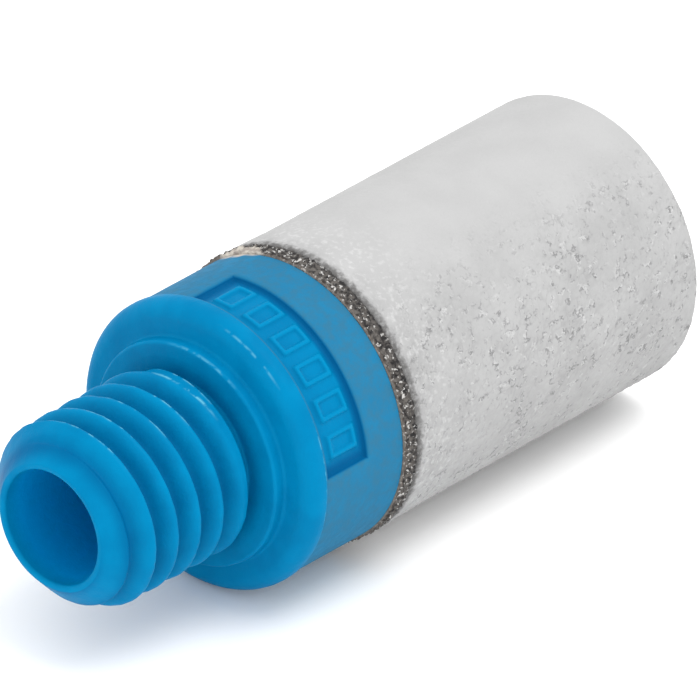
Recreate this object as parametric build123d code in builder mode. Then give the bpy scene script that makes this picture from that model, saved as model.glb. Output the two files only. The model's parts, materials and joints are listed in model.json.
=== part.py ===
"""Compact pneumatic exhaust muffler with an M5 port thread.

A moulded threaded body holds a hollow, sintered plastic cup. Air enters the bore of the thread,
fills the chamber inside the cup and seeps out through the cup's porous wall. The body is made as
two solids that meet at the foot of the thread, so that each has a simple shape.

Frame: the muffler lies with its axis along X. The origin is the centre of the sealing face, the
front face of the boss that meets the port. The thread points towards -X and the closed end of
the cup towards +X. Z is up. Lengths are in millimetres and angles in degrees.
"""
from build123d import *
from math import degrees, radians, tan
import os

# Port thread: M5 x 0.8, right-hand, its crest a little under the nominal 5 mm as moulded threads are
thread_crest_radius = 2.475
thread_pitch = 0.8
thread_depth = 0.44
thread_crest_width = 0.14
thread_flank_angle = 30
thread_root_round = 0.08
thread_length = 4.8
thread_phase = 0.51          # where the groove crosses the top, as a share of a pitch past the tip
neck_length = 0.2            # plain neck between the last turn and the boss
neck_round = 0.1
lead_in_round = 0.12

# Bore and the lip around its mouth
bore_radius = 1.5
lip_radius = 1.66
lip_round = 0.06

# Boss: the raised ring that seals on the port
boss_radius = 2.94
boss_height = 0.35
boss_round = 0.1
boss_relief_radius = 2.56    # the face falls away towards the stem, so that only a ring seals
boss_relief_depth = 0.04

# Collar
collar_radius = 3.76
collar_length = 3.36         # from the foot of the boss to the joint with the cup
shoulder_round = 0.45        # big round on the collar's front edge
rim_height = 0.05            # the round ends in a low rim, proud of the collar
rim_width = 0.1
collar_edge_round = 0.03     # at the joint with the cup

# Shallow pocket in the collar, holding a row of blank raised frames
pocket_start = 1.01          # from the sealing face
pocket_length = 1.43
pocket_depth = 0.13
pocket_sweep = 95            # round the axis
pocket_centre = 127.4        # round the axis, from +Y towards +Z
frame_count = 6
frame_height = 0.07
frame_line = 0.13            # width of the raised line
frame_length = 0.95          # along the axis
frame_sweep = 9.5            # round the axis
frame_spacing = 14.6         # round the axis, centre to centre

# Spigot: the tube of the body that the cup is pressed over
spigot_radius = 2.5
spigot_length = 2.8
spigot_rib_count = 2
spigot_rib_width = 0.45
spigot_rib_spacing = 1.0
spigot_relief = 0.12         # how far the spigot lies below its ribs
spigot_round = 0.1
chamber_mouth_radius = 1.9   # the bore widens inside the spigot
mouth_flare_length = 0.6

# Porous cup
cup_radius = 3.8
cup_length = 10.94           # from the collar to the closed end
cup_end_wall = 1.9
cup_edge_round = 0.3
cup_corner_round = 0.6       # inside, at the closed end
flare_height = 0.08          # the cup spreads a little where it was pressed on
flare_length = 2.6

# Bond ring: dark adhesive, soaked into the open end of the cup
bond_width = 0.45
bond_depth = 0.55
bond_recess = 0.02           # how far the ring lies below the cup's surface

# Places along the axis, from the sealing face
tip_x = -thread_length
collar_x = boss_height
joint_x = collar_x + collar_length
spigot_end_x = joint_x + spigot_length
cup_end_x = joint_x + cup_length

os.makedirs("parts", exist_ok=True)

# Thread groove: a V with a round root, swept along the helix as a cutting tool
thread_root_radius = thread_crest_radius - thread_depth
flank_slope = tan(radians(thread_flank_angle))
crest_half_gap = (thread_pitch - thread_crest_width) / 2
root_half_gap = crest_half_gap - thread_depth * flank_slope
groove_overcut = 0.04        # the tool stands this far outside the crest
groove_start_x = tip_x + (thread_phase - 1) * thread_pitch
last_flank_x = -neck_length - thread_depth * flank_slope
groove_travel = last_flank_x - groove_start_x

with BuildPart() as thread_groove:
    with BuildLine() as groove_path:
        Helix(thread_pitch, groove_travel, thread_crest_radius, (groove_start_x, 0, 0), (1, 0, 0))
    groove_start = groove_path.line @ 0
    outward = Vector(0, groove_start.Y, groove_start.Z)
    with BuildSketch(Plane(groove_start, x_dir=outward, z_dir=groove_path.line % 0)):
        with BuildLine():
            top_half_gap = crest_half_gap + groove_overcut * flank_slope
            FilletPolyline(
                (groove_overcut, top_half_gap),
                (-thread_depth, root_half_gap),
                (-thread_depth, -root_half_gap),
                (groove_overcut, -top_half_gap),
                radius=thread_root_round,
            )
            Line((groove_overcut, -top_half_gap), (groove_overcut, top_half_gap))
        make_face()
    sweep(path=groove_path.line, is_frenet=True)

# Bore, flared where it opens into the chamber
with BuildPart() as bore:
    with BuildSketch(Plane.XY):
        with BuildLine():
            Polyline(
                (tip_x, 0),
                (tip_x, bore_radius),
                (spigot_end_x - mouth_flare_length, bore_radius),
                (spigot_end_x, chamber_mouth_radius),
                (spigot_end_x, 0),
                close=True,
            )
        make_face()
    revolve(axis=Axis.X)

# Threaded stem: a plain rod with the groove cut in it, trimmed to the lead-in, lip and neck. It
# ends on the floor of the relief in the boss
lead_in_length = thread_crest_radius - lip_radius  # a 45 degree lead-in
stem_end_x = boss_relief_depth

with BuildPart() as threaded_stem:
    with BuildSketch(Plane.YZ.offset(groove_start_x - thread_pitch)):
        Circle(thread_crest_radius)
    extrude(amount=stem_end_x - groove_start_x + thread_pitch)
    add(thread_groove.part, mode=Mode.SUBTRACT)
    with BuildSketch(Plane.XY):
        with BuildLine():
            FilletPolyline(
                (tip_x, 0),
                (tip_x, lip_radius),
                (tip_x + lead_in_length, thread_crest_radius),
                (last_flank_x, thread_crest_radius),
                (-neck_length, thread_root_radius),
                (stem_end_x, thread_root_radius),
                (stem_end_x, 0),
                radius=[lip_round, lead_in_round, neck_round, neck_round, 0],
            )
            Line((stem_end_x, 0), (tip_x, 0))
        make_face()
    revolve(axis=Axis.X, mode=Mode.INTERSECT)
    add(bore.part, mode=Mode.SUBTRACT)
    mouth_edge = threaded_stem.faces().sort_by(Axis.X)[0].inner_wires().edges()
    fillet(mouth_edge, lip_round)

threaded_stem.part.label = "threaded_stem"
export_step(threaded_stem.part, "parts/threaded_stem.step")

# Collar: the rest of the body, with the boss, the collar and the spigot
rim_radius = collar_radius + rim_height
rim_end_x = collar_x + shoulder_round + rim_width
core_radius = spigot_radius - spigot_relief

with BuildPart() as collar:
    with BuildSketch(Plane.XY):
        with BuildLine():
            FilletPolyline(
                (boss_relief_depth, 0),
                (boss_relief_depth, thread_root_radius),
                (0, boss_relief_radius),
                (0, boss_radius),
                (collar_x, boss_radius),
                (collar_x, rim_radius),
                (rim_end_x, rim_radius),
                (rim_end_x + rim_height, collar_radius),
                (joint_x, collar_radius),
                (joint_x, core_radius),
                (spigot_end_x, core_radius),
                (spigot_end_x, 0),
                radius=[0, 0, boss_round, 0, shoulder_round, 0, 0, collar_edge_round, 0, spigot_round],
            )
            Line((spigot_end_x, 0), (boss_relief_depth, 0))
        make_face()
    revolve(axis=Axis.X)
    add(bore.part, mode=Mode.SUBTRACT)

    # Ribs round the spigot that grip the cup, half sunk in its core
    rib_depth = 2 * spigot_relief
    with BuildSketch(Plane.XY):
        for number in range(spigot_rib_count):
            with Locations((joint_x + (number + 1) * spigot_rib_spacing, spigot_radius)):
                Rectangle(spigot_rib_width, rib_depth, align=(Align.CENTER, Align.MAX))
    revolve(axis=Axis.X)

    # Pocket in the collar: the cut reaches out past the collar's surface
    pocket_floor = collar_radius - pocket_depth
    pocket_cut_depth = 2 * pocket_depth
    pocket_middle_x = pocket_start + pocket_length / 2
    with BuildSketch(Plane.XY.rotated((pocket_centre - pocket_sweep / 2, 0, 0))):
        with Locations((pocket_middle_x, pocket_floor)):
            Rectangle(pocket_length, pocket_cut_depth, align=(Align.CENTER, Align.MIN))
    revolve(axis=Axis.X, revolution_arc=pocket_sweep, mode=Mode.SUBTRACT)

    # Blank raised frames: each a block rooted under the pocket's floor, and hollowed to the floor
    frame_line_sweep = degrees(frame_line / pocket_floor)
    frame_block_depth = 3 * frame_height
    inner_sweep = frame_sweep - 2 * frame_line_sweep
    inner_length = frame_length - 2 * frame_line
    for number in range(frame_count):
        frame_centre = pocket_centre + (number - (frame_count - 1) / 2) * frame_spacing
        with BuildSketch(Plane.XY.rotated((frame_centre - frame_sweep / 2, 0, 0))):
            with Locations((pocket_middle_x, pocket_floor + frame_height)):
                Rectangle(frame_length, frame_block_depth, align=(Align.CENTER, Align.MAX))
        revolve(axis=Axis.X, revolution_arc=frame_sweep)
        with BuildSketch(Plane.XY.rotated((frame_centre - inner_sweep / 2, 0, 0))):
            with Locations((pocket_middle_x, pocket_floor)):
                Rectangle(inner_length, frame_height, align=(Align.CENTER, Align.MIN))
        revolve(axis=Axis.X, revolution_arc=inner_sweep, mode=Mode.SUBTRACT)

collar.part.label = "collar"
export_step(collar.part, "parts/collar.step")

# Bond ring: fills the rebate in the open end of the cup, against the collar
ring_outer_radius = cup_radius + flare_height - bond_recess
ring_inner_radius = cup_radius - bond_depth

with BuildPart() as bond_ring:
    with BuildSketch(Plane.YZ.offset(joint_x)):
        Circle(ring_outer_radius)
        Circle(ring_inner_radius, mode=Mode.SUBTRACT)
    extrude(amount=bond_width)

bond_ring.part.label = "bond_ring"
export_step(bond_ring.part, "parts/bond_ring.step")

# Porous cup: a thick-walled cup pressed over the spigot, spread a little at its open end
flare_radius = cup_radius + flare_height
flare_end_x = joint_x + flare_length

with BuildPart() as porous_cup:
    with BuildSketch(Plane.XY):
        with BuildLine():
            Line((joint_x + bond_width, ring_inner_radius), (joint_x + bond_width, flare_radius))
            Spline(
                (joint_x + bond_width, flare_radius),
                (flare_end_x, cup_radius),
                tangents=[(1, -2 * flare_height / flare_length), (1, 0)],
            )
            Line((flare_end_x, cup_radius), (cup_end_x - cup_edge_round, cup_radius))
            RadiusArc(
                (cup_end_x - cup_edge_round, cup_radius),
                (cup_end_x, cup_radius - cup_edge_round),
                cup_edge_round,
            )
            Line((cup_end_x, cup_radius - cup_edge_round), (cup_end_x, 0))
            Line((cup_end_x, 0), (cup_end_x - cup_end_wall, 0))
            FilletPolyline(
                (cup_end_x - cup_end_wall, 0),
                (cup_end_x - cup_end_wall, spigot_radius),
                (joint_x, spigot_radius),
                (joint_x, ring_inner_radius),
                (joint_x + bond_width, ring_inner_radius),
                radius=[cup_corner_round, 0, 0],
            )
        make_face()
    revolve(axis=Axis.X)

porous_cup.part.label = "porous_cup"
export_step(porous_cup.part, "parts/porous_cup.step")
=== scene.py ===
"""Looks of the compact pneumatic muffler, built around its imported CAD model.

The muffler lies on its side with its axis along X and the thread towards -X. Every visible piece
is a fine mesh turned round that axis, and its main sizes come from the frame. Places and sizes
are in millimetres, and mesh_piece() writes them out in metres. Only the lights and the floor are
sized in metres. The angle of a place round the axis is measured from +Y towards +Z, so +Z, the
top, is at 90 degrees.
"""
import json
import math

import bpy
import numpy as np
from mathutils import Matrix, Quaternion, Vector, noise


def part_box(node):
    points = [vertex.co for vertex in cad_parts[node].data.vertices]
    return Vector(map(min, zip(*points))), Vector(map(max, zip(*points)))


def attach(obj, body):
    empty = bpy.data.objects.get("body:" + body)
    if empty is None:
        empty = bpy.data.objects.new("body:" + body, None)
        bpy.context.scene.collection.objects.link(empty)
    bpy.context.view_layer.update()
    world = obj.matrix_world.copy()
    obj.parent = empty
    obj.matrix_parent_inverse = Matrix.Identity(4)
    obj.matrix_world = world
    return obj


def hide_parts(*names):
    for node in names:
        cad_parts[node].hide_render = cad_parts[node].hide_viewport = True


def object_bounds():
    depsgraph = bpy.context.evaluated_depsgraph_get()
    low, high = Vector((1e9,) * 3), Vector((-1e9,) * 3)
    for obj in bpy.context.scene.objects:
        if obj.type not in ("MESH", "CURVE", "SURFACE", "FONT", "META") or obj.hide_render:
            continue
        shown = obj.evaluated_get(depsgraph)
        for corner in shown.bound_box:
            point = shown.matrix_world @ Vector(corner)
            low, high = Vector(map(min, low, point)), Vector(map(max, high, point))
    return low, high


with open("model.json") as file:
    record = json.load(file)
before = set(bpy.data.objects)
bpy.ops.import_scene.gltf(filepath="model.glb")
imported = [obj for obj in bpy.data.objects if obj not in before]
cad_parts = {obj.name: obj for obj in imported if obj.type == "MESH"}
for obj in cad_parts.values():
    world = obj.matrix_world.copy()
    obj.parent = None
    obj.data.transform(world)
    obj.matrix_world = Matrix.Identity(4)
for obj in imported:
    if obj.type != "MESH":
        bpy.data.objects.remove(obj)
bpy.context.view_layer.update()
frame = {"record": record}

MM = 0.001
TOLERANCE = 0.001            # places this close count as the same
LEAST_ARC_PARTS = 4


# ---------------------------------------------------------------- sizes

def box_mm(node):
    """The lowest and the highest corner of a CAD node's box."""
    low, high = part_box(node)
    return low / MM, high / MM


def mount_size(name, key):
    mounts = {mount["name"]: mount for mount in frame["record"]["mounts"]}
    return mounts[name]["dims"][key]


stem_low, _ = box_mm("threaded_stem")
_, collar_high = box_mm("collar")
cup_low, cup_high = box_mm("porous_cup")
_, ring_high = box_mm("bond_ring")

crest_radius = mount_size("port_thread", "r_mm")
bore_radius = mount_size("air_inlet", "r_mm")
tip_x = stem_low.x
spigot_end_x = collar_high.x
rim_radius = collar_high.y
joint_x = cup_low.x
cup_end_x = cup_high.x
flare_radius = cup_high.y
ring_end_x = ring_high.x
ring_radius = ring_high.y

# Thread
pitch = 0.8
thread_depth = 0.44
flank_slope = math.tan(math.radians(30))
crest_half_gap = 0.33                 # half the groove's width at the crest
root_half_gap = crest_half_gap - thread_depth * flank_slope
root_radius = crest_radius - thread_depth
root_rounding = 0.12
worn_edge_rounding = 0.16             # on the crest's edge that faces the tip
crisp_edge_rounding = 0.03            # on its other edge
groove_top_x = tip_x - 0.49 * pitch   # a groove crosses the top here
neck_x = -0.2                         # the foot of the last flank
last_flank_x = neck_x - thread_depth * flank_slope
run_out_half_length = 0.06
valley_shade_shift = 0.04             # towards the tip

# Lip, boss and the collar's shoulder
lip_radius = 1.66
lead_in_length = crest_radius - lip_radius
relief_radius = 2.56
relief_depth = 0.04
boss_radius = 2.94
boss_height = 0.35
shoulder_round = 0.45
rim_width = 0.1
rim_height = 0.05
collar_radius = rim_radius - rim_height
rim_end_x = boss_height + shoulder_round + rim_width
matte_and_sheen_start_x = rim_end_x + rim_height

# Pocket in the collar, with its row of blank raised frames
pocket_start_x = 1.01
pocket_end_x = 2.44
pocket_middle_x = (pocket_start_x + pocket_end_x) / 2
pocket_half_length = (pocket_end_x - pocket_start_x) / 2
pocket_depth = 0.13
pocket_centre = math.radians(127.4)
pocket_half_sweep = math.radians(47.5)
frame_count = 6
frame_height = 0.07
frame_line = 0.13
frame_half_length = 0.475
frame_half_sweep = math.radians(4.75)
frame_spacing = math.radians(14.6)
inner_half_length = frame_half_length - frame_line
inner_half_sweep = frame_half_sweep - frame_line / collar_radius
wall_width = 0.05                     # the walls of the pocket and the frames lean this much
wall_sweep = wall_width / collar_radius

# Spigot and chamber
spigot_core_radius = 2.38
spigot_radius = 2.5
mouth_flare_length = 0.6
chamber_mouth_radius = 1.9
chamber_end_x = cup_end_x - 1.9

# Cup and bond ring
cup_radius = flare_radius - 0.08
flare_end_x = joint_x + 2.6
cup_edge_round = 0.3
cup_corner_round = 0.6
end_fan_radius = 0.12                 # fans of triangles close the end wall's two faces
inner_fan_radius = 0.3
ring_inner_radius = cup_radius - 0.55

# Columns of points round each piece
body_column_step = math.radians(1.55)
cup_columns = 400
ring_columns = 640

# Relief of the surfaces
ripple_depth = 0.006                  # of the moulded body
crest_ripple_depth = 0.02             # more on the thread's crests
base_crack_depth = 0.006             # between the cup's grains
off_top_crack_depth = 0.018           # more away from the top
lump_depth = 0.01
fray_depth = 0.07                     # the cup's frayed edge, at the ring
fray_length = 0.12
ring_crack_depth = 0.07

# Where the painted highlights are. Each window is a centre round the axis and a half width, in
# degrees
crest_window = (104, 20)
boss_window = (102, 18)
shoulder_window = (118, 13)
rim_window = (172, 18)
boss_line_x = 0.03
shoulder_line_x = boss_height + 0.14
upper_side_centre = math.radians(80)       # the middle of the cup's upper side, which is lighter and smoother
deposit_centre = math.radians(65)
deposit_half_sweep = math.radians(9)
deposit_edge_sweep = math.radians(8)
deposit_on_body = 0.16                # its reach along the axis, away from the joint
deposit_on_ring = 0.4


# ---------------------------------------------------------------- mesh helpers

def smooth_step(values, low, high):
    share = np.clip((values - low) / (high - low), 0.0, 1.0)
    return share * share * (3.0 - 2.0 * share)


def plateau(values, half_width, wall):
    """1 within half_width of zero and 0 outside, with soft walls of the given width."""
    return 1.0 - smooth_step(np.abs(values), half_width - wall / 2, half_width + wall / 2)


def soft_min(first, second, rounding):
    near = np.maximum(rounding - np.abs(first - second), 0.0)
    return np.minimum(first, second) - near * near / (4 * rounding)


def soft_max(first, second, rounding):
    return -soft_min(-first, -second, rounding)


def angle_from(angles, centre):
    """Angles measured from centre, between -180 and 180 degrees."""
    return (angles - centre + math.pi) % (2 * math.pi) - math.pi


def round_corner(before, corner, after, radius, step):
    """Points of the arc that rounds one corner of an outline."""
    if radius == 0:
        return [corner]
    inward = (before - corner) / np.linalg.norm(before - corner)
    outward = (after - corner) / np.linalg.norm(after - corner)
    turn = math.acos(np.clip(-inward @ outward, -1.0, 1.0))
    start = corner + inward * radius * math.tan(turn / 2)
    end = corner + outward * radius * math.tan(turn / 2)
    middle = (inward + outward) / np.linalg.norm(inward + outward)
    centre = corner + middle * radius / math.cos(turn / 2)
    parts = max(LEAST_ARC_PARTS, math.ceil(radius * turn / step))
    points = []
    for share in np.linspace(0.0, 1.0, parts + 1):
        direction = (1 - share) * (start - centre) + share * (end - centre)
        points.append(centre + direction * radius / np.linalg.norm(direction))
    return points


def outline(corners, closed):
    """Rounded, finely divided outline. A corner is (x, radius, rounding, step to the next)."""
    places = [np.array(corner[:2], float) for corner in corners]
    points, steps = [], []
    for i, (_, _, rounding, step) in enumerate(corners):
        inside = closed or 0 < i < len(corners) - 1
        if inside:
            after = places[(i + 1) % len(corners)]
            arc = round_corner(places[i - 1], places[i], after, rounding, step)
        else:
            arc = [places[i]]
        points += arc
        # The arc's own pieces are shorter than its rounding, so they stay whole
        steps += [rounding] * (len(arc) - 1) + [step]
    fine = []
    for i in range(len(points) if closed else len(points) - 1):
        start, end = points[i], points[(i + 1) % len(points)]
        parts = max(1, math.ceil(np.linalg.norm(end - start) / steps[i]))
        fine += [start + (end - start) * k / parts for k in range(parts)]
    if not closed:
        fine.append(points[-1])
    return np.array(fine)


class Turned:
    """A grid of points: rows along an outline, columns round the axis.

    The attributes are values at the points that the materials read by name.
    """

    def __init__(self, corners, angles, closed):
        points = outline(corners, closed)
        self.closed = closed
        self.angles = angles
        self.row_x = points[:, 0]
        self.row_radius = points[:, 1]
        self.x = np.repeat(points[:, :1], len(angles), axis=1)
        self.radius = np.repeat(points[:, 1:], len(angles), axis=1)
        self.attributes = {}

    def points(self):
        y = self.radius * np.cos(self.angles)
        z = self.radius * np.sin(self.angles)
        return np.stack([self.x, y, z], axis=-1).reshape(-1, 3)

    def noise(self, size, seed, rows):
        """Smooth noise, from -1 to 1, on the chosen rows and 0 elsewhere."""
        shift = Vector((17.3 * seed, 5.1 * seed, 9.7 * seed))
        return self.field(lambda point: noise.noise(point / size + shift), rows)

    def grains(self, size, seed, rows):
        """Packed round grains: 1 on top of a grain and 0 in the cracks between grains."""
        shift = Vector((3.9 * seed, 11.3 * seed, 7.7 * seed))

        def height(point):
            nearest, next_nearest = noise.voronoi(point / size + shift)[0][:2]
            return min(1.0, 1.8 * (next_nearest - nearest))

        return self.field(height, rows)

    def field(self, value_at, rows):
        grid = self.points().reshape(*self.x.shape, 3)
        values = np.zeros(self.x.shape)
        for row in np.flatnonzero(rows):
            values[row] = [value_at(Vector(point)) for point in grid[row]]
        return values


def grid_faces(grid):
    """Faces between the rows, and the fans that close an open outline on the axis."""
    rows, columns = grid.x.shape
    index = np.arange(rows * columns).reshape(rows, columns)
    faces = []
    for row in range(rows if grid.closed else rows - 1):
        here, there = index[row], index[(row + 1) % rows]
        quads = [here, np.roll(here, -1), np.roll(there, -1), there]
        faces += np.stack(quads, axis=-1).tolist()
    if not grid.closed:
        first_pole, last_pole = rows * columns, rows * columns + 1
        for ring, pole in ((index[0][::-1], first_pole), (index[-1], last_pole)):
            faces += [[a, b, pole] for a, b in zip(ring.tolist(), np.roll(ring, -1).tolist())]
    return faces


def signed_volume(mesh):
    """Negative where the faces look inwards."""
    mesh.calc_loop_triangles()
    places = np.zeros(len(mesh.vertices) * 3)
    mesh.vertices.foreach_get("co", places)
    corners = np.zeros(len(mesh.loop_triangles) * 3, int)
    mesh.loop_triangles.foreach_get("vertices", corners)
    a, b, c = places.reshape(-1, 3)[corners].reshape(-1, 3, 3).transpose(1, 0, 2)
    return float(np.einsum("ij,ij->", a, np.cross(b, c))) / 6


def mesh_piece(name, nodes, grid):
    """The piece that stands for one or more CAD nodes, made from a turned grid."""
    points = grid.points()
    if not grid.closed:
        poles = [[grid.x[0].mean(), 0.0, 0.0], [grid.x[-1].mean(), 0.0, 0.0]]
        points = np.vstack([points, poles])
    mesh = bpy.data.meshes.new(name)
    mesh.from_pydata((points * MM).tolist(), [], grid_faces(grid))
    for attribute, values in grid.attributes.items():
        layer = mesh.attributes.new(attribute, "FLOAT", "POINT")
        flat = np.zeros(len(points), np.float32)
        flat[:values.size] = values.reshape(-1)
        layer.data.foreach_set("value", flat)
    mesh.polygons.foreach_set("use_smooth", [True] * len(mesh.polygons))
    mesh.update()
    if signed_volume(mesh) < 0:
        mesh.flip_normals()
    piece = bpy.data.objects.new(name, mesh)
    bpy.context.scene.collection.objects.link(piece)
    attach(piece, "root")
    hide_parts(*nodes)
    return piece


def even_angles(count):
    return np.arange(count) * 2 * math.pi / count


def angle_window(grid, centre, half_width):
    """A soft window round the axis. Its centre and half width are in degrees."""
    turn = angle_from(grid.angles, math.radians(centre))
    return plateau(turn, math.radians(half_width), math.radians(half_width))


def fill_between(marks, largest_step):
    """The marks, with even steps no larger than largest_step between them."""
    values = []
    for start, end in zip(marks, marks[1:]):
        parts = max(1, math.ceil((end - start) / largest_step))
        values += [start + (end - start) * k / parts for k in range(parts)]
    return values


# ---------------------------------------------------------------- moulded body

def frame_centres():
    middle = (frame_count - 1) / 2
    return [pocket_centre + (number - middle) * frame_spacing for number in range(frame_count)]


def body_angles():
    """Columns round the axis, with close ones at each wall of the pocket and the frames."""
    edges = [pocket_centre - pocket_half_sweep, pocket_centre + pocket_half_sweep]
    for centre in frame_centres():
        for half in (frame_half_sweep, inner_half_sweep):
            edges += [centre - half, centre + half]
    marks = sorted(edge + side * wall_sweep / 2 for edge in edges for side in (-1, 0, 1))
    marks.append(marks[0] + 2 * math.pi)
    return np.array(fill_between(marks, body_column_step))


def collar_rows():
    """Corners along the collar, with close rows at each wall of the pocket and the frames."""
    edges = [pocket_start_x, pocket_end_x]
    for half in (frame_half_length, inner_half_length):
        edges += [pocket_middle_x - half, pocket_middle_x + half]
    places = sorted(edge + side * wall_width / 2 for edge in edges for side in (-1, 0, 1))
    return [(x, collar_radius, 0, 0.12) for x in places]


def body_corners():
    """The body's outline, from the chamber out through the bore and back over the outside."""
    bore = [
        (spigot_end_x, chamber_mouth_radius, 0.1, 0.4),
        (spigot_end_x - mouth_flare_length, bore_radius, 0.3, 0.5),
        (tip_x, bore_radius, 0.09, 0.03),
    ]
    stem = [
        (tip_x, lip_radius, 0.07, 0.032),
        (tip_x + lead_in_length, crest_radius, 0.12, 0.032),
        (last_flank_x, crest_radius, 0.03, 0.04),
        (neck_x, root_radius, 0.08, 0.05),
    ]
    boss = [
        (relief_depth, root_radius, 0.05, 0.1),
        (0, relief_radius, 0.05, 0.1),
        (0, boss_radius, 0.08, 0.08),
        (boss_height, boss_radius, 0.08, 0.1),
    ]
    shoulder = [
        (boss_height, rim_radius, shoulder_round, 0.035),
        (rim_end_x, rim_radius, 0.04, 0.03),
        (matte_and_sheen_start_x, collar_radius, 0.02, 0.03),
    ]
    spigot = [
        (joint_x, collar_radius, 0.04, 0.2),
        (joint_x, spigot_core_radius, 0, 0.5),
        (spigot_end_x, spigot_core_radius, 0.1, 0.3),
    ]
    return bore + stem + boss + shoulder + collar_rows() + spigot


def thread(grid):
    """Radius that the helical groove leaves, and masks of its valley, for painted shade, and of its
    crest's crisp edge, for painted highlights.
    """
    turns = (grid.angles - math.pi / 2) / (2 * math.pi)
    along = (grid.x - groove_top_x) / pitch - turns
    number = np.round(along)
    offset = (along - number) * pitch
    flank = root_radius + (np.abs(offset) - root_half_gap) / flank_slope
    crest_rounding = np.where(offset > 0, worn_edge_rounding, crisp_edge_rounding)
    radius = soft_min(flank, crest_radius, crest_rounding)
    radius = soft_max(radius, root_radius, root_rounding)
    groove_x = groove_top_x + (number + turns) * pitch
    run_out_start_x = last_flank_x - run_out_half_length
    run_out = smooth_step(groove_x, run_out_start_x, last_flank_x + run_out_half_length)
    radius += (crest_radius - radius) * run_out
    valley = 1 - smooth_step(np.abs(offset + valley_shade_shift), 0.0, crest_half_gap)
    return radius, valley * (1 - run_out), edge_line(offset + crest_half_gap)


def edge_line(distance):
    """A thin line along an edge of the thread."""
    return plateau(distance, half_width=0.03, wall=0.05)


def pocket_mask(grid):
    turn = angle_from(grid.angles, pocket_centre)
    along = plateau(grid.x - pocket_middle_x, pocket_half_length, wall_width)
    return along * plateau(turn, pocket_half_sweep, wall_sweep)


def frames_mask(grid):
    outer_along = plateau(grid.x - pocket_middle_x, frame_half_length, wall_width)
    inner_along = plateau(grid.x - pocket_middle_x, inner_half_length, wall_width)
    mask = np.zeros(grid.x.shape)
    for centre in frame_centres():
        turn = angle_from(grid.angles, centre)
        outer = outer_along * plateau(turn, frame_half_sweep, wall_sweep)
        inner = inner_along * plateau(turn, inner_half_sweep, wall_sweep)
        mask += outer * (1 - inner)
    return mask


def deposit_mask(grid, rows, reach):
    """The ragged pale deposit over the joint. It reaches this far along the axis, each way."""
    turn = angle_from(grid.angles, deposit_centre)
    ragged = grid.noise(0.25, 4, rows)
    edge = reach * plateau(turn, deposit_half_sweep, deposit_edge_sweep) * (0.8 + 1.2 * ragged)
    return smooth_step(edge - np.abs(grid.x - joint_x), -0.02, 0.03)


def shoulder_highlights(grid):
    """Painted highlights: thin light lines on the boss's edge, the shoulder and the rim."""
    on_boss = plateau(grid.x - boss_line_x, half_width=0.02, wall=0.03)
    on_boss = on_boss * plateau(grid.radius - boss_radius, half_width=0.03, wall=0.04)
    on_shoulder = plateau(grid.x - shoulder_line_x, half_width=0.008, wall=0.025)
    on_shoulder = on_shoulder * (grid.radius > boss_radius + 0.3)
    on_rim = plateau(grid.x - rim_end_x, half_width=0.015, wall=0.03)
    on_rim = on_rim * (grid.radius > collar_radius - 0.02)
    lines = 0.7 * on_boss * angle_window(grid, *boss_window)
    lines = lines + on_shoulder * angle_window(grid, *shoulder_window)
    return lines + 0.7 * on_rim * angle_window(grid, *rim_window)


def thread_highlights(grid, crest_edge):
    """Painted highlights: thin light lines on the crest's crisp edge and along the last flank."""
    on_edge = np.maximum(crest_edge, edge_line(grid.x - last_flank_x))
    full_height = smooth_step(grid.radius, crest_radius - 0.07, crest_radius - 0.04)
    return on_edge * full_height * angle_window(grid, *crest_window)


def pocket_shade(grid, in_pocket):
    """Shade in the pocket, darkest along its rear wall and at its two ends."""
    floor_end_x = pocket_end_x - wall_width / 2
    behind = smooth_step(grid.x, floor_end_x - 0.2, floor_end_x - 0.05)
    turn = np.abs(angle_from(grid.angles, pocket_centre))
    beside = smooth_step(turn, pocket_half_sweep - 0.13, pocket_half_sweep - 0.03)
    return in_pocket * (0.15 + 1.25 * np.maximum(behind, beside))


def make_body():
    grid = Turned(body_corners(), body_angles(), closed=True)

    outside = grid.row_radius > lip_radius
    stem_rows = outside & (grid.row_x < neck_x)
    stem = stem_rows[:, None]
    threaded, valley, crest_edge = thread(grid)
    grid.radius[stem_rows] = np.minimum(grid.radius, threaded)[stem_rows]

    at_collar_radius = np.abs(grid.row_radius - collar_radius) < TOLERANCE
    collar = (at_collar_radius & (grid.row_x < joint_x - 0.03))[:, None]
    pocket = pocket_mask(grid) * collar
    frames = frames_mask(grid) * collar
    grid.radius += frame_height * frames - pocket_depth * pocket

    shows = (grid.row_x < joint_x + 0.01) & (grid.row_radius > bore_radius)
    ripple = np.abs(grid.noise(0.5, 1, shows))
    at_crest = smooth_step(grid.radius, crest_radius - 0.1, crest_radius) * stem
    grid.radius -= ripple * (ripple_depth + crest_ripple_depth * at_crest)

    in_pocket = smooth_step(pocket, 0.02, 0.1)
    in_bore = (grid.row_radius < bore_radius + 0.03)[:, None]
    behind_rim = smooth_step(grid.x, matte_and_sheen_start_x - 0.03, matte_and_sheen_start_x + 0.03)
    grid.attributes = {
        "shade": np.maximum(valley * stem, pocket_shade(grid, in_pocket)),
        "frames": frames,
        # Lines of painted highlight on the thread and round the shoulder
        "polished": thread_highlights(grid, crest_edge) * stem + shoulder_highlights(grid),
        # Painted light: the bore's inside is given a lighter blue, fading in from the tip
        "bore": in_bore * smooth_step(grid.x, tip_x + 0.05, tip_x + 0.5),
        # Behind the rim the finish is duller and carries a painted greyish sheen
        "matte": behind_rim * (1 - in_pocket),
        "deposit": deposit_mask(grid, shows, deposit_on_body),
    }
    return mesh_piece("moulded_body", ["threaded_stem", "collar"], grid)


# ---------------------------------------------------------------- cup and bond ring

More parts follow.
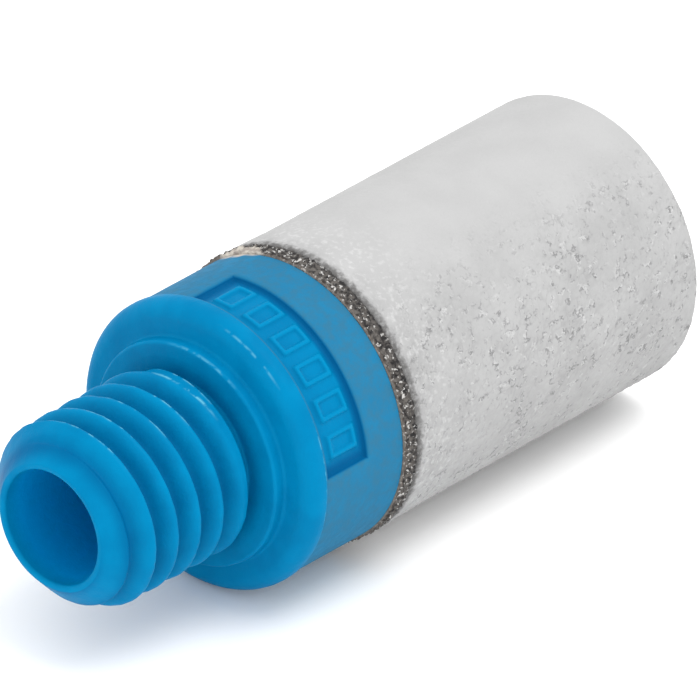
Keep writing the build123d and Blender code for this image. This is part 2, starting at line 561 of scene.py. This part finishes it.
def make_cup():
    """The porous cup, with cracks between its grains. They are deeper away from the top."""
    corners = [
        (cup_end_x, end_fan_radius, 0, 0.1),
        (cup_end_x, cup_radius, cup_edge_round, 0.062),
        (ring_end_x, cup_radius, 0, 0.15),
        (ring_end_x, ring_inner_radius, 0, 0.3),
        (joint_x, ring_inner_radius, 0, 0.4),
        (joint_x, spigot_radius, 0, 0.6),
        (chamber_end_x, spigot_radius, cup_corner_round, 0.5),
        (chamber_end_x, inner_fan_radius, 0, 0.5),
    ]
    grid = Turned(corners, even_angles(cup_columns), closed=False)
    end_face = grid.row_x > cup_end_x - TOLERANCE
    side = (grid.row_radius > cup_radius - cup_edge_round) & (grid.row_x >= ring_end_x)
    outside = end_face | side

    spread = np.clip((flare_end_x - grid.x) / (flare_end_x - joint_x), 0.0, 1.0) ** 2
    grid.radius += (flare_radius - cup_radius) * spread * side[:, None]
    grains = grid.grains(0.21, 2, outside)
    lumps = grid.noise(0.9, 3, outside)
    towards_upper_side = grid.radius * np.cos(grid.angles - upper_side_centre) / cup_radius
    handled = 1 - smooth_step(towards_upper_side, 0.47, 0.9)
    sink = (base_crack_depth + off_top_crack_depth * handled) * (1 - grains)
    sink += lump_depth * np.abs(lumps)
    near_ring = np.exp(-np.maximum(grid.x - ring_end_x, 0.0) / fray_length)
    sink += fray_depth * near_ring * (1 - 0.6 * grains)
    grid.radius -= sink * side[:, None]
    grid.x -= sink * end_face[:, None]
    grid.attributes = {"grains": grains, "handled": handled}
    return mesh_piece("sintered_cup", ["porous_cup"], grid)


def make_ring():
    """The rough bond ring, with more pale grains next to the cup and on the upper side."""
    corners = [
        (joint_x, ring_radius, 0.03, 0.045),
        (ring_end_x, ring_radius, 0.02, 0.2),
        (ring_end_x, ring_inner_radius, 0, 0.3),
        (joint_x, ring_inner_radius, 0, 0.2),
    ]
    grid = Turned(corners, even_angles(ring_columns), closed=True)
    side = grid.row_radius > ring_radius - 0.05
    grains = grid.grains(0.16, 5, side)
    grid.radius -= ring_crack_depth * (1 - grains) * side[:, None]
    ragged_x = grid.x + 0.1 * grid.noise(0.2, 6, side)
    beside_cup = smooth_step(ragged_x, ring_end_x - 0.16, ring_end_x)
    turn = angle_from(grid.angles, upper_side_centre)
    upper_side = plateau(turn, half_width=math.radians(22), wall=math.radians(40))
    grid.attributes = {
        "deposit": deposit_mask(grid, side, deposit_on_ring),
        "pale_grains": np.maximum(beside_cup, 0.8 * upper_side),
    }
    return mesh_piece("bond_bead", ["bond_ring"], grid)


# ---------------------------------------------------------------- materials

def rgb(red, green, blue):
    return (red, green, blue, 1)


def grey(value):
    return rgb(value, value, value)


class Finish:
    """A material's nodes, built up from textures to the shader's sockets. Sizes are in mm."""

    def __init__(self, name):
        self.material = bpy.data.materials.new(name)
        self.material.use_nodes = True
        self.tree = self.material.node_tree
        self.shader = self.tree.nodes["Principled BSDF"]
        self.place = self.add("ShaderNodeTexCoord").outputs["Object"]

    def add(self, kind, **settings):
        node = self.tree.nodes.new(kind)
        for key, value in settings.items():
            setattr(node, key, value)
        return node

    def feed(self, socket, value):
        """Links a socket to another, or sets its value."""
        if isinstance(value, bpy.types.NodeSocket):
            self.tree.links.new(value, socket)
        else:
            socket.default_value = value

    def noise(self, size, detail=2.0, roughness=0.5):
        node = self.add("ShaderNodeTexNoise")
        self.feed(node.inputs["Vector"], self.place)
        self.feed(node.inputs["Scale"], 1 / (size * MM))
        self.feed(node.inputs["Detail"], detail)
        self.feed(node.inputs["Roughness"], roughness)
        return node.outputs["Fac"]

    def attribute(self, name):
        return self.add("ShaderNodeAttribute", attribute_name=name).outputs["Fac"]

    def along(self, start, end, at_start=0.0, at_end=1.0):
        """A value that changes smoothly along the muffler's axis, from start to end."""
        node = self.add("ShaderNodeSeparateXYZ")
        self.feed(node.inputs[0], self.place)
        return self.span(node.outputs["X"], start * MM, end * MM, at_start, at_end)

    def math(self, operation, first, second):
        node = self.add("ShaderNodeMath", operation=operation)
        self.feed(node.inputs[0], first)
        self.feed(node.inputs[1], second)
        return node.outputs[0]

    def times(self, first, second):
        return self.math("MULTIPLY", first, second)

    def plus(self, first, second):
        return self.math("ADD", first, second)

    def span(self, value, low, high, to_low=0.0, to_high=1.0):
        """value's range from low to high, mapped smoothly to another range."""
        node = self.add("ShaderNodeMapRange", interpolation_type="SMOOTHSTEP")
        for socket, number in zip(node.inputs, (value, low, high, to_low, to_high)):
            self.feed(socket, number)
        return node.outputs[0]

    def band(self, value, middle, half_width):
        """1 where value is at the middle, falling smoothly to 0 at half_width from it."""
        distance = self.math("ABSOLUTE", self.math("SUBTRACT", value, middle), 0.0)
        return self.span(distance, 0.0, half_width, 1.0, 0.0)

    def mix(self, factor, first, second):
        """The first colour where factor is 0, and the second where it is 1."""
        node = self.add("ShaderNodeMix", data_type="RGBA")
        self.feed(node.inputs["Factor"], factor)
        self.feed(node.inputs[6], first)
        self.feed(node.inputs[7], second)
        return node.outputs[2]

    def bump(self, height, rise, below=None):
        """Bump whose height of 1 stands for a rise in mm. below is the bump that it lies on."""
        node = self.add("ShaderNodeBump")
        self.feed(node.inputs["Distance"], rise * MM)
        self.feed(node.inputs["Height"], height)
        if below is not None:
            self.feed(node.inputs["Normal"], below)
        return node.outputs["Normal"]

    def finish(self, **sockets):
        for name, value in sockets.items():
            self.feed(self.shader.inputs[name.replace("_", " ")], value)
        return self.material


def body_material():
    """Moulded acetal: saturated and smooth in front, and duller behind the shoulder, where a
    painted greyish sheen is mixed into its colour.
    """
    look = Finish("blue_moulded_acetal")
    clouds = look.span(look.noise(0.9, 4), 0.3, 0.7)
    colour = look.mix(clouds, rgb(0.0, 0.16, 0.342), rgb(0.0, 0.186, 0.383))
    colour = look.mix(look.attribute("frames"), colour, rgb(0.0, 0.2, 0.402))
    # Painted light inside the bore
    colour = look.mix(look.attribute("bore"), colour, rgb(0.0, 0.25, 0.56))

    # Painted sheen: a patchy greyish colour on the duller band behind the rim, which is also
    # rougher
    uneven = look.span(look.noise(0.28, 5, 0.65), 0.35, 0.65, 0.55, 1.0)
    matte = look.times(look.attribute("matte"), uneven)
    colour = look.mix(matte, colour, rgb(0.027, 0.143, 0.249))
    shade = look.times(look.attribute("shade"), 0.6)
    colour = look.mix(shade, colour, rgb(0.0, 0.07, 0.2))
    scattered = look.span(look.noise(0.3, 3), 0.46, 0.6)
    polished = look.times(look.attribute("polished"), scattered)
    # Painted highlights: light lines on the thread's crests and the shoulder's edges, broken up by
    # noise
    colour = look.mix(polished, colour, rgb(0.12, 0.42, 0.55))
    colour = look.mix(look.attribute("deposit"), colour, rgb(0.45, 0.41, 0.36))

    roughness = look.span(matte, 0.0, 1.0, 0.4, 0.6)
    texture = look.bump(look.noise(0.06, 3), 0.006)
    texture = look.bump(look.noise(0.3, 3), 0.015, texture)
    return look.finish(
        Base_Color=colour,
        Roughness=roughness,
        Normal=texture,
        Specular_IOR_Level=0.02,
    )


def cup_marks(look, colour, handled):
    """Adds painted shade in the cracks between grains, strokes painted as relief with bands of
    shade and highlight, and the flecks, away from the top.
    """
    patches = look.span(look.noise(0.8, 3), 0.35, 0.65, 0.25, 1.0)
    speckled = look.times(handled, patches)
    # Painted shade in the cracks between the grains
    crack_shade = look.span(look.attribute("grains"), 0.0, 0.4, 0.2, 0.0)
    colour = look.mix(look.times(crack_shade, speckled), colour, grey(0.15))
    spots = look.times(look.span(look.noise(0.2, 2), 0.5, 0.64), speckled)
    # Strokes painted as relief: a band of painted shade beside a band of painted highlight
    winding = look.noise(0.21, 3, 0.6)
    dark = look.times(look.band(winding, 0.46, 0.065), spots)
    colour = look.mix(look.times(dark, 0.75), colour, rgb(0.12, 0.12, 0.122))
    bright = look.times(look.band(winding, 0.56, 0.05), spots)
    colour = look.mix(look.times(bright, 0.45), colour, grey(0.6))
    flecks = look.span(look.noise(0.16, 5, 0.65), 0.3, 0.4, 0.7, 0.0)
    return look.mix(look.times(flecks, speckled), colour, rgb(0.15, 0.15, 0.152))


def near_ring_marks(look, colour):
    """Adds the light specks, a dark fringe and grey patches, which fade out away from the ring."""
    specks = look.span(look.noise(0.13, 3), 0.5, 0.72, 0.0, 0.4)
    specks = look.times(specks, look.along(ring_end_x, ring_end_x + 3.0, 1.0, 0.0))
    colour = look.mix(specks, colour, grey(0.6))
    near_ring = look.along(ring_end_x, ring_end_x + 0.6, 1.0, 0.0)
    dark_fringe = look.span(look.plus(near_ring, look.noise(0.13, 4, 0.6)), 1.05, 1.6, 0.0, 0.85)
    colour = look.mix(dark_fringe, colour, rgb(0.05, 0.047, 0.045))
    grey_patches = look.span(look.noise(0.5, 3), 0.38, 0.62, 0.0, 0.3)
    grey_patches = look.times(grey_patches, look.along(ring_end_x, ring_end_x + 1.0, 1.0, 0.0))
    return look.mix(grey_patches, colour, grey(0.17))


def cup_material():
    """White sintered grains, darker and more marked away from the top, with specks, a dark fringe
    and grey patches near the ring.
    """
    look = Finish("sintered_white")
    handled = look.attribute("handled")
    # Lighter on the upper side and darker away from it
    clouds = look.span(look.noise(1.2, 4), 0.3, 0.7)
    upper_tone = look.mix(clouds, grey(0.38), grey(0.4))
    dull = look.mix(clouds, grey(0.335), grey(0.375))
    colour = look.mix(handled, upper_tone, dull)
    colour = cup_marks(look, colour, handled)
    colour = near_ring_marks(look, colour)
    texture = look.bump(look.noise(0.12, 3), 0.014)
    return look.finish(Base_Color=colour, Roughness=0.85, Normal=texture, Specular_IOR_Level=0.2)


def ring_material():
    """Dark bond between pale grains, a little brown along the collar."""
    look = Finish("dark_bond")
    patches = look.span(look.noise(0.12, 3), 0.35, 0.65)
    colour = look.mix(patches, rgb(0.02, 0.019, 0.019), rgb(0.12, 0.11, 0.101))
    more_pale = look.times(look.attribute("pale_grains"), 0.05)
    pale = look.span(look.plus(look.noise(0.1, 2), more_pale), 0.59, 0.68)
    colour = look.mix(pale, colour, rgb(0.5, 0.49, 0.475))
    brown = look.along(joint_x, joint_x + 0.07, 0.5, 0.0)
    colour = look.mix(brown, colour, rgb(0.1, 0.075, 0.058))
    darker = look.along(ring_end_x - 0.2, ring_end_x, 0.0, 0.45)
    colour = look.mix(darker, colour, rgb(0.02, 0.02, 0.022))

    grainy = look.span(look.noise(0.15, 3), 0.35, 0.65)
    deposit = look.mix(grainy, rgb(0.3, 0.265, 0.24), rgb(0.5, 0.465, 0.41))
    colour = look.mix(look.attribute("deposit"), colour, deposit)
    texture = look.bump(look.noise(0.07, 3), 0.04)
    return look.finish(Base_Color=colour, Roughness=0.7, Normal=texture, Specular_IOR_Level=0.15)


# ---------------------------------------------------------------- stage, light, camera

VIEW_AZIMUTH = -48.3
VIEW_ELEVATION = 29.7
VIEW_ROLL = 0.4
VIEW_OFFSET = Vector((2.51, 0.23, 0.2))   # from the middle of the joint to the picture's middle
PICTURE_WIDTH = 17.0316                   # width of what the picture shows, at the muffler
LENS = 1029
SENSOR = 36
LIGHT_DISTANCE = 0.3                      # in metres, like the floor's size and the lights' own
FLOOR_HALF_WIDTH = 1.5
WORLD_STRENGTH = 1.35


def direction_from(azimuth, elevation):
    """From the muffler towards a viewer or light. At azimuth 0 it points along -Y."""
    turn, rise = math.radians(azimuth), math.radians(elevation)
    across = math.cos(rise)
    return Vector((math.sin(turn) * across, -math.cos(turn) * across, math.sin(rise)))


def aim(thing, target, azimuth, elevation, distance, roll=0.0):
    """Puts a light or camera at a distance from the target and turns it to face the target."""
    out = direction_from(azimuth, elevation)
    thing.location = target + out * distance
    turn = out.to_track_quat("Z", "Y") @ Quaternion((0, 0, 1), math.radians(roll))
    thing.rotation_euler = turn.to_euler()


def add_light(name, target, azimuth, elevation, size, power):
    data = bpy.data.lights.new(name, "AREA")
    data.shape = "DISK"
    data.size = size
    data.energy = power
    light = bpy.data.objects.new(name, data)
    bpy.context.scene.collection.objects.link(light)
    aim(light, target, azimuth, elevation, LIGHT_DISTANCE)


def make_camera(target):
    """A long lens far away, so that the view has almost no perspective."""
    data = bpy.data.cameras.new("camera")
    data.lens = LENS
    data.sensor_width = SENSOR
    camera = bpy.data.objects.new("camera", data)
    bpy.context.scene.collection.objects.link(camera)
    bpy.context.scene.camera = camera
    distance = PICTURE_WIDTH * MM * LENS / SENSOR
    aim(camera, target, VIEW_AZIMUTH, VIEW_ELEVATION, distance, VIEW_ROLL)


def make_floor():
    """A pale floor that the muffler lies on."""
    half = FLOOR_HALF_WIDTH
    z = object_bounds()[0][2]
    corners = [(-half, -half, z), (half, -half, z), (half, half, z), (-half, half, z)]
    mesh = bpy.data.meshes.new("studio_floor")
    mesh.from_pydata(corners, [], [(0, 1, 2, 3)])
    floor = bpy.data.objects.new("studio_floor", mesh)
    bpy.context.scene.collection.objects.link(floor)
    look = Finish("pale_floor")
    mesh.materials.append(look.finish(Base_Color=grey(0.98), Roughness=0.9))


def make_world():
    world = bpy.data.worlds.new("studio")
    world.use_nodes = True
    background = world.node_tree.nodes["Background"]
    background.inputs["Color"].default_value = grey(1)
    background.inputs["Strength"].default_value = WORLD_STRENGTH
    bpy.context.scene.world = world


make_body().data.materials.append(body_material())
make_cup().data.materials.append(cup_material())
make_ring().data.materials.append(ring_material())

view_middle = (Vector((joint_x, 0, 0)) + VIEW_OFFSET) * MM
make_floor()
make_world()
make_camera(view_middle)
add_light("key_softbox", view_middle, azimuth=20, elevation=68, size=0.16, power=0.34)
add_light("front_softbox", view_middle, azimuth=-60, elevation=5, size=0.3, power=0.12)
bpy.context.scene.view_settings.view_transform = "Standard"
